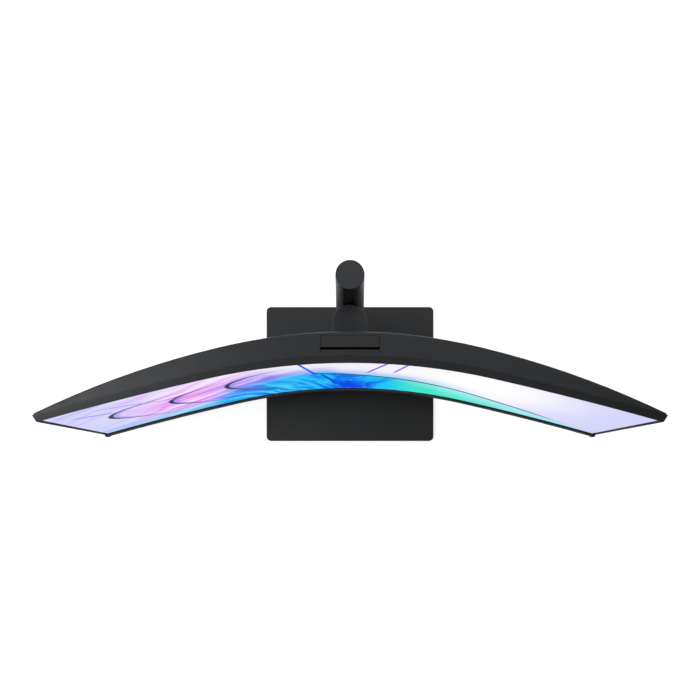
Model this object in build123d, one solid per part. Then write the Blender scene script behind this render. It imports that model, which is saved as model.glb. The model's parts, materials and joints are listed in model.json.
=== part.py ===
from build123d import *
import os
from math import asin, cos, degrees, radians, sin

os.makedirs("parts", exist_ok=True)

# Origin: centre of the base on the desk. +X right seen from the front, +Y to the rear, +Z up. Millimetres.

# Plan curves: (Y at the centre, middle radius, half angle of the middle arc in degrees, wing radius)
DISPLAY = (-41.7, 1127.0, 12.79, 5800.0)
BACK = (10.7, 969.0, 13.37, 1573.5)

# Head: heights, half widths and depths behind the display's face
HEAD_Z0 = 59.0
HEAD_Z1 = 391.0
PANEL_HALF_X = 537.8
FRAME_HALF_X = 541.0
FRAME_RIM = 2.7
FRAME_FRONT = -1.0
FRAME_BACK = 12.0
FRAME_FLARE = 3.2
FRAME_SLOPE = 2.6
COVER_HALF_X = 544.5
COVER_HOLLOW_HALF_X = 500.0
WALL = 2.5
SEAM = 0.15
GAP = 0.3
BEZEL_Z1 = 77.2
PANEL_TOP = 386.4

# Electronics hump on the rear cover, with the pocket for the neck and two port bays
HUMP_HALF_X = 215.0
HUMP_DEPTH = 12.0
HUMP_Z0 = 72.0
HUMP_Z1 = 344.0
HUMP_SEAT = 4.0
POCKET_HALF_X = 62.0
POCKET_Z0 = 150.0
POCKET_Z1 = 333.0
POCKET_Y = 3.0
BAY_Y = -18.0
BAY_Z0 = 79.0
BAY_Z1 = 135.0
POWER_BAY_X = (-170.0, -75.0)
SIGNAL_BAY_X = (75.0, 195.0)

# Cover details: vents, speaker slots, screws and sockets
VENT_PITCH = 7.0
VENT_COUNT = 18
VENT_X0 = 78.0
VENT_Z = (296.0, 318.0)
SECURITY_SLOT = (228.0, 235.0, 90.0, 93.0)
SLOT_PITCH = 6.0
SPEAKER_SLOTS = 10
SPEAKER_X = 290.0
COVER_SCREWS = [(sx * x, z) for sx in (-1, 1) for x, z in ((204, 88), (204, 332), (69, 332))]
PORT_COVER_Z = 142.4
PORT_Y = -9.4
INLET = (-117.5, -92.5, -12.0, 6.0)
ROCKER = (-151.0, -130.0, -9.0, 4.0)
SOCKETS = {"video": [(86, 16, 6.2), (108, 16, 6.2), (130, 16, 6.2)],
           "usb": [(147, 9.4, 3.6), (162, 14.2, 6.8), (181, 14.2, 6.8)]}

# Tilt hinge and quick release
PIVOT_Y = 40.0
PIVOT_Z = 225.0
SHAFT_R = 5.0
RUNNING = 0.05
VESA_HALF = 50.0
PLATE_HALF_X = 42.0
PLATE_HALF_Z = 44.0
HOOK_X = 25.0
HOOK_Z = 262.0

# Neck
NECK_R = 33.0
NECK_Y = 51.0
NECK_FRONT_Y = 30.0
NECK_Z0 = 176.0
NECK_SPLIT_Z = 234.5
NECK_Z1 = 293.0

# Column
COLUMN_Y = 107.0
COLUMN_Z0 = 13.0
CAP_Z0 = 389.0
CAP_Z1 = 397.0
COLUMN_SPLIT_Z = 118.0
COLUMN_TOP_R = 25.2
COLUMN_FOOT_R = 31.0
CONCAVE_R = 35.0
SLOT_W = 14.0
SLOT_Z0 = 160.0
SLOT_Z1 = 349.0
CABLE_Z = 72.0
CABLE_W = 22.0
CABLE_H = 44.0
GROMMET_WALL = 1.5
ROD_X = 12.0
ROD_R = 3.0
ROD_Z0 = 112.0
DRUM_Y = 114.0
DRUM_Z = 368.0
COIL_R = 12.0
SPOOL_R = 9.0
AXLE_R = 2.0
EAR_X = 17.5
STRIP_HALF_X = 7.5
BUSH_R = 4.5
BUSH_H = 12.0
CARRIAGE_Z0 = 185.0
CARRIAGE_Z1 = 250.0

# Base
BASE_X = 384.0
BASE_Y = 308.0
BASE_CORNER = 10.0
BASE_TOP = 12.0
BASE_SKIN = 2.0
PAN_THICK = 1.5
PLATE_Z = (4.9, 9.9)
FOOT_H = 1.5
FOOT_R = 11.0
SPIGOT_R = 16.0
FOOT_SPOTS = [(sx * 165, sy * 127) for sx in (-1, 1) for sy in (-1, 0, 1)]
BASE_SCREW_SPOTS = [(sx * x, sy * 140) for sx in (-1, 1) for sy in (-1, 1) for x in (60, 120)]
RETAINER_R = 22.0
RETAINER_Z = (3.1, 4.7)
SWIVEL_SCREW_X = 8.0

# Screws: shank and head radii
SHANK_R = 1.5
HEAD_R = 2.6
COVER_SCREW_R = 3.1

# Webcam
CAM_HALF_X = 50.0
CAM_WALL = 1.5
LENS_DROP = 24.0
LENS_R = 6.0
CAM_Y = (-15.8, 3.1)
CAM_Z = (348.6, 390.6)
WELL_GAP = 3.9
WELL_LEDGE = 6.1

# Controls in the head's bottom edge
STICK_Y = -14.0
STICK_PIVOT_Z = 72.0
POWER_X = 38.0
POWER_Y = -15.0


def save(node, shape):
    """Write one named piece."""
    export_step(shape, f"parts/{node}.step")


def block(x0, x1, y0, y1, z0, z1):
    """Box between two corners."""
    return Pos(x0, y0, z0) * Box(x1 - x0, y1 - y0, z1 - z0, align=(Align.MIN, Align.MIN, Align.MIN))


def rod_z(x, y, r, z0, z1):
    """Upright cylinder between two heights."""
    return Pos(x, y, z0) * Cylinder(r, z1 - z0, align=(Align.CENTER, Align.CENTER, Align.MIN))


def rod_x(y, z, r, x0, x1):
    """Cylinder along X."""
    bar = Cylinder(r, x1 - x0, align=(Align.CENTER, Align.CENTER, Align.MIN))
    return Pos(x0, y, z) * Rot(0, 90, 0) * bar


def rod_y(x, z, r, y0, y1):
    """Cylinder along Y."""
    return Pos(x, y0, z) * Rot(-90, 0, 0) * Cylinder(r, y1 - y0, align=(Align.CENTER, Align.CENTER, Align.MIN))


def upright(edges, z0, z1):
    """Extrude a closed plan outline between two heights."""
    face = make_face(edges)
    return extrude(Pos(0, 0, z0) * face, z1 - z0, dir=(0, 0, 1))


def angle_at(curve, x, offset=0.0):
    """Angle of the curve's normal where the offset curve reaches a half width."""
    _, middle, half, wing = curve
    reach = (middle + offset) * sin(radians(half))
    if x <= reach:
        return asin(x / (middle + offset))
    return asin((x + (wing - middle) * sin(radians(half))) / (wing + offset))


def point_at(curve, angle, offset=0.0):
    """Plan point at an angle of the curve, an offset behind it; a negative angle is the left side."""
    y, middle, half, wing = curve
    side = -1.0 if angle < 0 else 1.0
    turn = abs(angle)
    if turn <= radians(half):
        return (side * (middle + offset) * sin(turn), y - middle + (middle + offset) * cos(turn))
    shift = wing - middle
    px = (wing + offset) * sin(turn) - shift * sin(radians(half))
    py = y - middle - shift * cos(radians(half)) + (wing + offset) * cos(turn)
    return (side * px, py)


def bend(curve, offset, angle):
    """Tangent arcs of an offset curve between minus and plus an angle."""
    half = radians(curve[2])
    stops = [-angle, angle] if angle <= half else [-angle, -half, half, angle]
    arcs = []
    for first, last in zip(stops, stops[1:]):
        ends = [point_at(curve, a, offset) for a in (first, (first + last) / 2, last)]
        arcs.append(ThreePointArc(*ends))
    return arcs


def strip(near, far, half_x, z0, z1, flare=0.0):
    """Solid that follows the display between two depths behind its face."""
    angle = angle_at(DISPLAY, half_x)
    far_angle = angle + flare / DISPLAY[3]
    front = bend(DISPLAY, near, angle)
    back = bend(DISPLAY, far, far_angle)
    ends = []
    for side in (-1, 1):
        ends.append(Line(point_at(DISPLAY, side * angle, near), point_at(DISPLAY, side * far_angle, far)))
    return upright(front + back + ends, z0, z1)


def cover_volume(inset, half_x, front, z0, z1):
    """Solid between the frame's rear plane and the cover's back curve."""
    front_angle = angle_at(DISPLAY, half_x, front)
    back_angle = angle_at(BACK, half_x, -inset)
    near = bend(DISPLAY, front, front_angle)
    far = bend(BACK, -inset, back_angle)
    ends = []
    for side in (-1, 1):
        start = point_at(DISPLAY, side * front_angle, front)
        ends.append(Line(start, point_at(BACK, side * back_angle, -inset)))
    return upright(near + far + ends, z0, z1)


def hump_volume(inset, front_y):
    """Curved block that stands behind the cover; front_y is its flat front."""
    half_x = HUMP_HALF_X - inset
    offset = HUMP_DEPTH - inset
    angle = angle_at(BACK, half_x, offset)
    arc = bend(BACK, offset, angle)
    corner = point_at(BACK, angle, offset)
    outline = Polyline((corner[0], corner[1]), (half_x, front_y), (-half_x, front_y), (-corner[0], corner[1]))
    return upright(arc + outline.edges(), HUMP_Z0 + inset, HUMP_Z1 - inset)


def on_curve(x, behind, z):
    """Location behind the display at a half width, turned to face along the curve."""
    angle = angle_at(DISPLAY, abs(x))
    side = -1 if x < 0 else 1
    px, py = point_at(DISPLAY, side * angle, behind)
    return Location((px, py, z), (0, 0, -side * degrees(angle)))


# ---------------------------------------------------------------- base

def plate(width, depth, corner, z0, z1):
    """Rounded rectangular plate."""
    return extrude(Pos(0, 0, z0) * RectangleRounded(width, depth, corner), z1 - z0)


def base_cover():
    shell = plate(BASE_X, BASE_Y, BASE_CORNER, FOOT_H, BASE_TOP)
    shell = fillet(shell.faces().sort_by(Axis.Z)[-1].edges(), 0.8)
    inside = plate(BASE_X - 2 * WALL, BASE_Y - 2 * WALL, BASE_CORNER - WALL, FOOT_H, BASE_TOP - BASE_SKIN)
    return shell - inside - rod_z(0, COLUMN_Y, SPIGOT_R + 1, 0, BASE_TOP + 1)


def base_weight_plate():
    weight = plate(BASE_X - 14, BASE_Y - 14, 6, *PLATE_Z)
    weight -= rod_z(0, COLUMN_Y, SPIGOT_R + RUNNING, 0, BASE_TOP)
    for x, y in BASE_SCREW_SPOTS:
        weight -= rod_z(x, y, SHANK_R + 0.1, 0, BASE_TOP)
    return weight


def base_pan():
    inset = 2 * (WALL + GAP)
    pan = plate(BASE_X - inset, BASE_Y - inset, BASE_CORNER - WALL, FOOT_H, FOOT_H + PAN_THICK)
    for x, y in BASE_SCREW_SPOTS:
        pan -= rod_z(x, y, HEAD_R + 0.2, 0, BASE_TOP)
    return pan


def base_screws():
    head_z0 = FOOT_H + 0.1
    screws = []
    for x, y in BASE_SCREW_SPOTS:
        screws.append(rod_z(x, y, HEAD_R, head_z0, head_z0 + PAN_THICK) + rod_z(x, y, SHANK_R, head_z0 + 1, 9.0))
    return Compound(screws)


def base_feet():
    return Compound([rod_z(x, y, FOOT_R, 0, FOOT_H) for x, y in FOOT_SPOTS])


def swivel_washer():
    disc = rod_z(0, COLUMN_Y, COLUMN_FOOT_R - 3, BASE_TOP, COLUMN_Z0 - 0.1)
    return disc - rod_z(0, COLUMN_Y, SPIGOT_R + 1, 0, COLUMN_Z0)


# ---------------------------------------------------------------- column

def concave(radius, z0, z1):
    """Upright cylinder that hollows the column's front, round the neck's centre."""
    return rod_z(0, NECK_Y, radius, z0, z1)


def column_radius(z):
    """Outer radius of the tapered column at a height."""
    return COLUMN_FOOT_R + (COLUMN_TOP_R - COLUMN_FOOT_R) * (z - COLUMN_Z0) / (CAP_Z0 - COLUMN_Z0)


def column_core(inset, z0, z1):
    """Tapered body of the column, less a wall thickness, with its concave front."""
    height = z1 - z0
    cone = Cone(column_radius(z0) - inset, column_radius(z1) - inset, height,
                align=(Align.CENTER, Align.CENTER, Align.MIN))
    return Pos(0, COLUMN_Y, z0) * cone - concave(CONCAVE_R + inset, z0 - 1, z1 + 1)


def obround(width, height, y0, y1):
    """Upright obround bar along Y at the cable hole."""
    profile = Plane.XZ * RectangleRounded(width, height, width / 2 - 0.01)
    bar = extrude(profile, y1 - y0, dir=(0, 1, 0))
    return Pos(0, y0, CABLE_Z) * bar


def column_tube(z0, z1):
    """Open tapered tube with one wall thickness."""
    return column_core(0, z0, z1) - column_core(WALL, z0 - 0.01, z1 + 0.01)


def column_foot():
    """Lower moulding of the column, with the cable hole through it."""
    return column_tube(COLUMN_Z0, COLUMN_SPLIT_Z) - obround(CABLE_W, CABLE_H, 60, 150)


def column_shell():
    """Upper moulding of the column, with the slot that the carriage runs in."""
    tube = column_tube(COLUMN_SPLIT_Z + SEAM, CAP_Z0)
    return tube - block(-SLOT_W / 2, SLOT_W / 2, 60, 95, SLOT_Z0, SLOT_Z1)


def cable_grommet():
    tube = obround(CABLE_W - 0.1, CABLE_H - 0.1, 83.8, 138.0)
    return tube - obround(CABLE_W - 2 * GROMMET_WALL, CABLE_H - 2 * GROMMET_WALL, 60, 150)


def column_cap():
    cap = rod_z(0, COLUMN_Y, COLUMN_TOP_R - 0.1, CAP_Z0, CAP_Z1)
    return fillet(cap.faces().sort_by(Axis.Z)[-1].edges(), 0.8)


def rod_bracket(z0, z1):
    """Plate across the column that holds the two guide rods."""
    body = column_core(WALL + 0.3, z0, z1)
    for x in (-ROD_X, ROD_X):
        body -= rod_z(x, COLUMN_Y, ROD_R + 0.02, z0 - 1, z1 + 1)
    return body


def swivel_hub():
    """Cast foot: spigot through the base, a disc, and two posts under the plate that holds the rods."""
    disc = column_core(WALL + 0.4, COLUMN_Z0, COLUMN_Z0 + 8)
    hub = disc + rod_z(0, COLUMN_Y, SPIGOT_R, 4.75, COLUMN_Z0 + 1)
    for side in (-1, 1):
        hub += Pos(side * 18, COLUMN_Y + 1, (COLUMN_Z0 + 8 + ROD_Z0) / 2) * Box(5, 18, ROD_Z0 - COLUMN_Z0 - 6)
    for x in (-SWIVEL_SCREW_X, SWIVEL_SCREW_X):
        hub -= rod_z(x, COLUMN_Y, SHANK_R + 0.1, 0, 10)
    hub += rod_bracket(ROD_Z0 - 1, ROD_Z0 + 6)
    return hub - guide_rods()


def swivel_retainer():
    disc = rod_z(0, COLUMN_Y, RETAINER_R, *RETAINER_Z)
    for x in (-SWIVEL_SCREW_X, SWIVEL_SCREW_X):
        disc -= rod_z(x, COLUMN_Y, HEAD_R + 0.4, 0, 10)
    return disc


def swivel_screws():
    return Compound([rod_z(x, COLUMN_Y, HEAD_R + 0.2, 3.15, 4.7) + rod_z(x, COLUMN_Y, SHANK_R, 4.6, 9.5)
                     for x in (-SWIVEL_SCREW_X, SWIVEL_SCREW_X)])


def guide_rods():
    return Compound([rod_z(x, COLUMN_Y, ROD_R, ROD_Z0, 386) for x in (-ROD_X, ROD_X)])


def upper_rod_bracket():
    """Top plate with two ears and a riveted axle for the spring drum."""
    body = rod_bracket(382, 388)
    for side in (-1, 1):
        body += block(side * EAR_X - 1.2, side * EAR_X + 1.2, DRUM_Y - 4, DRUM_Y + 4, DRUM_Z - 4, 383)
    return body + rod_x(DRUM_Y, DRUM_Z, AXLE_R, -EAR_X - 1.2, EAR_X + 1.2)


def spring_drum():
    return rod_x(DRUM_Y, DRUM_Z, SPOOL_R, -8, 8) - rod_x(DRUM_Y, DRUM_Z, AXLE_R + RUNNING, -9, 9)


def spring_coil():
    coil = rod_x(DRUM_Y, DRUM_Z, COIL_R, -STRIP_HALF_X, STRIP_HALF_X)
    return coil - rod_x(DRUM_Y, DRUM_Z, SPOOL_R + 0.02, -9, 9)


def spring_strip():
    """Flat steel strip from the coil down to the carriage."""
    y = DRUM_Y + COIL_R + 0.1
    return block(-STRIP_HALF_X, STRIP_HALF_X, y, y + 0.4, 240, DRUM_Z)


# ---------------------------------------------------------------- carriage and neck

def carriage_block():
    body = block(-18, 18, COLUMN_Y - 10, COLUMN_Y + 10, CARRIAGE_Z0, CARRIAGE_Z1)
    body += block(-6, 6, 69, COLUMN_Y - 9, 190, 246)
    body += block(-7, 7, COLUMN_Y + 9, DRUM_Y + COIL_R - 0.2, 225, 238)
    for x in (-ROD_X, ROD_X):
        body -= rod_z(x, COLUMN_Y, BUSH_R, CARRIAGE_Z0 - 1, CARRIAGE_Z1 + 1)
    return body


def rod_bushings():
    bushes = []
    for x in (-ROD_X, ROD_X):
        for z0 in (CARRIAGE_Z0, CARRIAGE_Z1 - BUSH_H):
            bush = rod_z(x, COLUMN_Y, BUSH_R - 0.02, z0, z0 + BUSH_H)
            bushes.append(bush - rod_z(x, COLUMN_Y, ROD_R + RUNNING, z0 - 1, z0 + BUSH_H + 1))
    return Compound(bushes)


def neck_bracket():
    """Steel yoke: back plate on the carriage and two arms that carry the tilt shaft."""
    body = block(-24, 24, 65.9, 68.9, 190, 260)
    for side in (-1, 1):
        x0 = min(side * 21, side * 24)
        arm = block(x0, x0 + 3, PIVOT_Y, 66.5, 213, 237) + rod_x(PIVOT_Y, PIVOT_Z, 12, x0, x0 + 3)
        body += arm
    return body - rod_x(PIVOT_Y, PIVOT_Z, SHAFT_R + RUNNING, -30, 30)


def neck_outline(inset, z0, z1):
    """Rounded-end body of the neck, less a wall thickness."""
    r = NECK_R - inset
    rear_end = rod_z(0, NECK_Y, r, z0, z1) & block(-r, r, NECK_Y, NECK_Y + r, z0, z1)
    return rear_end + block(-r, r, NECK_FRONT_Y, NECK_Y, z0, z1)


def neck_shell():
    outer = neck_outline(0, NECK_Z0, NECK_Z1)
    top_edges = outer.faces().sort_by(Axis.Z)[-1].edges()
    outer = chamfer(top_edges.filter_by(lambda e: e.center().Y > NECK_FRONT_Y + 1), 1.2)
    inner = neck_outline(WALL, NECK_Z0 + WALL, NECK_Z1 - WALL)
    mouth_r = NECK_R - WALL
    mouth = block(-mouth_r, mouth_r, NECK_FRONT_Y - 1, NECK_Y, NECK_Z0 + WALL, NECK_Z1 - WALL)
    return outer - inner - mouth - block(-7, 7, 70, 90, 189, 247)


def neck_upper_cover():
    return neck_shell() & block(-50, 50, 0, 100, NECK_SPLIT_Z + 0.2, NECK_Z1 + 1)


def neck_lower_cover():
    return neck_shell() & block(-50, 50, 0, 100, NECK_Z0 - 1, NECK_SPLIT_Z)


def friction_washers():
    rings = []
    for x0, x1 in ((-20.9, -18.7), (18.7, 20.9), (-25.6, -24.1), (24.1, 25.6)):
        bore = rod_x(PIVOT_Y, PIVOT_Z, SHAFT_R + RUNNING, x0 - 1, x1 + 1)
        rings.append(rod_x(PIVOT_Y, PIVOT_Z, 9, x0, x1) - bore)
    return Compound(rings)


# ---------------------------------------------------------------- tilt head

def tilt_shaft():
    shaft = rod_x(PIVOT_Y, PIVOT_Z, SHAFT_R, -28, 28)
    return shaft + rod_x(PIVOT_Y, PIVOT_Z, 7, -28.5, -25.9) + rod_x(PIVOT_Y, PIVOT_Z, 7, 25.9, 28.5)


def tilt_yoke():
    body = rod_x(PIVOT_Y, PIVOT_Z, 11, -18.5, 18.5)
    body += block(-18.5, 18.5, POCKET_Y + 4.2, PIVOT_Y, PIVOT_Z - 9, PIVOT_Z + 9)
    return body - rod_x(PIVOT_Y, PIVOT_Z, SHAFT_R, -20, 20)


def quick_release_plate():
    """Plate that hangs the head on the neck: two hooks at the top, a latch notch at the bottom."""
    outline = Plane.XZ * RectangleRounded(2 * PLATE_HALF_X, 2 * PLATE_HALF_Z, 5)
    body = Pos(0, POCKET_Y + 0.2, PIVOT_Z) * extrude(outline, 4.0, dir=(0, 1, 0))
    for side in (-1, 1):
        x = side * HOOK_X
        body += block(x - 5, x + 5, -5.0, POCKET_Y + 1, HOOK_Z - 2, HOOK_Z + 2)
        body += block(x - 5, x + 5, -5.0, -3.0, HOOK_Z - 6, HOOK_Z + 2)
    return body


def release_button():
    """Push tab under the plate, with its stem and hook through the cover."""
    tab = block(-13, 13, POCKET_Y + 0.4, POCKET_Y + 7, 164, 175)
    tab = fillet(tab.edges().filter_by(Axis.Y), 2.0)
    return tab + block(-5, 5, -6, POCKET_Y + 1, 167, 173) + block(-5, 5, -6, -3.2, 172, 180)


def vesa_bracket():
    """Steel bracket inside the cover with four threaded bosses on the 100 mm square."""
    body = block(-60, 60, -1.9, 0.1, 165, 285)
    for side in (-1, 1):
        x0 = min(side * 58, side * 60)
        body += block(x0, x0 + 2, -28, -1, 165, 285)
        for up in (-1, 1):
            x, z = side * VESA_HALF, PIVOT_Z + up * VESA_HALF
            body += rod_y(x, z, 3.7, -9, POCKET_Y)
            body -= rod_y(x, z, 2.0, -10, POCKET_Y + 1)
        body -= block(side * HOOK_X - 6, side * HOOK_X + 6, -6, 1, HOOK_Z - 7, HOOK_Z + 3)
    return body - block(-6, 6, -6, 1, 164, 181)


def hump():
    body = hump_volume(0, -30)
    rear = body.faces().filter_by(GeomType.CYLINDER).sort_by(Axis.Y)[-1]
    return fillet(rear.edges(), 5)


def port_bay(x_span, grow):
    """Space of one port bay, grown by a wall thickness when it is kept closed."""
    return block(x_span[0] - grow, x_span[1] + grow, BAY_Y - grow, 40, BAY_Z0 - grow, BAY_Z1 + grow)


def neck_pocket(grow):
    half = POCKET_HALF_X + grow
    return block(-half, half, POCKET_Y - grow, 40, POCKET_Z0 - grow, POCKET_Z1 + grow)


def rear_y(x, z):
    """Y of the cover's rear surface, on the hump or beside it."""
    offset = HUMP_DEPTH if abs(x) < HUMP_HALF_X and HUMP_Z0 < z < HUMP_Z1 else 0
    return point_at(BACK, angle_at(BACK, abs(x), offset), offset)[1]


def vents():
    """Two rows of upright slots in the hump's rear wall."""
    cuts = []
    for side in (-1, 1):
        for i in range(VENT_COUNT):
            x = side * (VENT_X0 + i * VENT_PITCH)
            y = rear_y(x, VENT_Z[0])
            cuts.append(block(x - 1.5, x + 1.5, y - 5, y + 3, *VENT_Z))
    return cuts


def speaker_slots():
    """Short slots in the cover's underside, below the speakers."""
    cuts = []
    for side in (-1, 1):
        for i in range(SPEAKER_SLOTS):
            x = SPEAKER_X + SLOT_PITCH * (i - (SPEAKER_SLOTS - 1) / 2)
            cuts.append(on_curve(side * x, 24, HEAD_Z0 - 2) * Box(2.4, 13, 10))
    return cuts


def socket_hole(x, width, depth):
    y0 = PORT_Y - depth / 2
    return block(x - width / 2, x + width / 2, y0, y0 + depth, BAY_Z1 - 1, BAY_Z1 + 4)


def rear_cover():
    """Thin curved shell with a rectangular opening that the electronics cover closes."""
    outer = cover_volume(0, COVER_HALF_X, FRAME_BACK + 0.1, HEAD_Z0 + 0.5, HEAD_Z1)
    rim = outer.edges().filter_by(lambda e: e.center().Y > -8 and abs(e.center().X) < 1)
    outer = fillet(rim, 2.0)
    cover = outer - cover_volume(WALL, COVER_HOLLOW_HALF_X, FRAME_BACK - 1, HEAD_Z0 + 3, HEAD_Z1 - WALL)
    seat = HUMP_HALF_X - HUMP_SEAT
    cover -= block(-seat, seat, -20, 20, HUMP_Z0 + HUMP_SEAT, HUMP_Z1 - HUMP_SEAT)
    # Webcam well, control holes and the security slot
    y0 = CAM_Y[0] - WELL_GAP
    cover -= block(-CAM_HALF_X - 0.8, CAM_HALF_X + 0.8, y0, CAM_Y[1] + 0.4, 380, 400)
    cover -= block(-CAM_HALF_X - 1.8, CAM_HALF_X + 1.8, y0 - WELL_LEDGE, CAM_Y[0] - 0.5, 380, 400)
    cover -= rod_z(0, STICK_Y, 9.2, 50, 66)
    cover -= rod_z(POWER_X, POWER_Y, 5.3, 50, 66)
    x0, x1, z0, z1 = SECURITY_SLOT
    cover -= block(x0, x1, -40, 20, z0, z1)
    for cut in speaker_slots():
        cover -= cut
    return cover


def raised_cover():
    """Whole raised cover over the boards, with the neck pocket, the two port bays and the vents."""
    shell = hump() - cover_volume(-0.05, COVER_HALF_X, -10, HEAD_Z0, HEAD_Z1) - hump_volume(WALL, -30)
    tubs = neck_pocket(WALL) + port_bay(POWER_BAY_X, WALL) + port_bay(SIGNAL_BAY_X, WALL)
    cover = shell + (tubs & hump_volume(1.0, -30))
    cover -= neck_pocket(0) + port_bay(POWER_BAY_X, 0) + port_bay(SIGNAL_BAY_X, 0)
    cover -= block(INLET[0] - 0.1, INLET[1] + 0.1, INLET[2] - 0.1, INLET[3] + 0.1, BAY_Z1 - 1, BAY_Z1 + 4)
    cover -= block(ROCKER[0] - 1.6, ROCKER[1] + 1.6, ROCKER[2] - 1.6, ROCKER[3] + 1.6, BAY_Z1 - 1, BAY_Z1 + 4)
    for row in SOCKETS.values():
        for x, width, depth in row:
            cover -= socket_hole(x, width + 0.2, depth + 0.2)
    for side in (-1, 1):
        x = side * HOOK_X
        cover -= block(x - 6, x + 6, 0, POCKET_Y + 1, HOOK_Z - 7, HOOK_Z + 3)
        for up in (-1, 1):
            cover -= rod_y(side * VESA_HALF, PIVOT_Z + up * VESA_HALF, 3.75, -1, POCKET_Y + 1)
    cover -= block(-6, 6, -1, POCKET_Y + 1, 166, 181)
    for x, z in COVER_SCREWS:
        cover -= rod_y(x, z, COVER_SCREW_R + GAP, rear_y(x, z) - 8, rear_y(x, z) + 5)
    for cut in vents():
        cover -= cut
    return cover


def electronics_cover():
    """Upper moulding of the raised cover: neck pocket and vents."""
    return raised_cover() & block(-300, 300, -60, 60, PORT_COVER_Z + SEAM, 400)


def port_cover():
    """Lower moulding of the raised cover: the two port bays."""
    return raised_cover() & block(-300, 300, -60, 60, 0, PORT_COVER_Z)


def cover_screws():
    screws = []
    for x, z in COVER_SCREWS:
        screws.append(rod_y(x, z, COVER_SCREW_R, rear_y(x, z) - 10, rear_y(x, z) - 1.6))
    return Compound(screws)


def front_frame():
    ring = strip(FRAME_FRONT, FRAME_BACK, FRAME_HALF_X, HEAD_Z0, HEAD_Z1, FRAME_FLARE)
    top = ring.faces().sort_by(Axis.Z)[-1]
    long_edges = top.edges().filter_by(lambda e: e.length > 100).sort_by(SortBy.LENGTH)
    front_wings, front_middle = long_edges[:2], long_edges[4:5]
    ring = chamfer(front_wings + front_middle, FRAME_BACK - FRAME_FRONT - 1, FRAME_SLOPE, reference=top)
    inside = strip(FRAME_FRONT - 1, FRAME_BACK + 1, PANEL_HALF_X + GAP, HEAD_Z0 + FRAME_RIM, PANEL_TOP + GAP)
    return ring - inside


def bottom_bezel():
    """Chin strip in front of the panel's lower edge, with a slightly deeper pad at each end."""
    chin = strip(-4.6, FRAME_FRONT - 0.1, FRAME_HALF_X - 0.2, HEAD_Z0, BEZEL_Z1)
    for side in (-1, 1):
        chin += on_curve(side * (FRAME_HALF_X - 4), -4.9, (HEAD_Z0 + BEZEL_Z1) / 2) * Box(6.0, 2.6, 17.0)
    return chin


def panel_chassis():
    tray = strip(5.8, 11.0, PANEL_HALF_X, HEAD_Z0 + FRAME_RIM + GAP, PANEL_TOP)
    return tray - strip(7.0, 12.0, PANEL_HALF_X - 1.2, HEAD_Z0 + FRAME_RIM + 1.5, PANEL_TOP - 1.2)


TRAY_Y = (-29.2, -28.2)
POWER_BOARD_Y = (-26.0, -24.4)
MAIN_BOARD_Y = (-14.6, -13.0)


def board_tray():
    """Sheet metal tray behind the panel, with pressed standoffs for the two boards."""
    tray = block(-196, 196, *TRAY_Y, 150, 320)
    for side in (-1, 1):
        x0 = min(side * 196, side * 195)
        tray += block(x0, x0 + 1, -34, TRAY_Y[0] + 0.5, 150, 320)
    for x in (-185, -78):
        for z in (166, 274):
            tray += rod_y(x, z, 2.5, TRAY_Y[0], POWER_BOARD_Y[0])
    for x in (78, 186):
        for z in (172, 254):
            tray += rod_y(x, z, 2.5, TRAY_Y[0], MAIN_BOARD_Y[0])
    return tray


def main_board():
    """Circuit board with its scaler chip, heat sink and memory."""
    board = block(70, 194, *MAIN_BOARD_Y, 139, 262)
    board += block(95, 125, -13.0, -10.5, 200, 230)
    for i in range(8):
        board += block(96 + 3.6 * i, 97.4 + 3.6 * i, -10.6, -4, 200, 230)
    for z in (205, 222):
        board += block(140, 152, -13.1, -11.8, z, z + 10)
    return board


def power_board():
    """Supply board with transformer, bulk capacitors and heat sinks."""
    board = block(-192, -70, *POWER_BOARD_Y, 160, 280)
    board += block(-120, -88, -24.5, -4, 175, 205)
    for x in (-175, -155):
        board += rod_y(x, 240, 8, -24.5, -6)
    board += block(-180, -135, -24.5, -8, 170, 173)
    return board + block(-120, -80, -24.5, -8, 262, 265)


def ribbon_cable():
    """Flat cable from the main board down to the panel driver board."""
    upright_run = block(100, 122, -28.0, -27.6, 104, 160)
    return upright_run + block(100, 122, -28.0, MAIN_BOARD_Y[0] - 0.05, 159.6, 160)


def panel_driver_board():
    return block(-130, 130, -27.4, -26.0, 96, 112)


def led_bar():
    return strip(2.6, 5.6, PANEL_HALF_X - 2, HEAD_Z0 + FRAME_RIM + 0.5, 69.5)


def speakers():
    """Two sealed speaker boxes, each with its driver ring facing down over the slots."""
    box = Pos(0, 0, 88) * Box(76, 17, 34)
    cone = Pos(0, 0, 67.5) * (Cylinder(8, 7) - Pos(0, 0, -2.5) * Cone(6.5, 2, 4))
    return Compound([on_curve(side * SPEAKER_X, 25, 0) * (box + cone) for side in (-1, 1)])


def control_board():
    """Strip of board over the controls, with the power button's switch under it."""
    board = block(-14, 50, -22, -6, 79.0, 80.6)
    return board + block(POWER_X - 3, POWER_X + 3, POWER_Y - 3, POWER_Y + 3, 67.2, 79.5)


def joystick_switch():
    """Round switch housing with bearings for the gimbal's pins."""
    cup = rod_z(0, STICK_Y, 9.0, 67, 79) - rod_z(0, STICK_Y, 7.2, 66, 77)
    return cup - rod_x(STICK_Y, STICK_PIVOT_Z, 0.75, -8.4, 8.4)


def joystick_gimbal():
    ring = rod_z(0, STICK_Y, 6.0, STICK_PIVOT_Z - 1.5, STICK_PIVOT_Z + 1.5)
    ring -= rod_z(0, STICK_Y, 4.4, 60, 80)
    for x0, x1 in ((-8.2, -5.5), (5.5, 8.2)):
        ring += rod_x(STICK_Y, STICK_PIVOT_Z, 0.7, x0, x1)
    return ring - rod_y(0, STICK_PIVOT_Z, 0.65, STICK_Y - 5.4, STICK_Y + 5.4)


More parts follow.
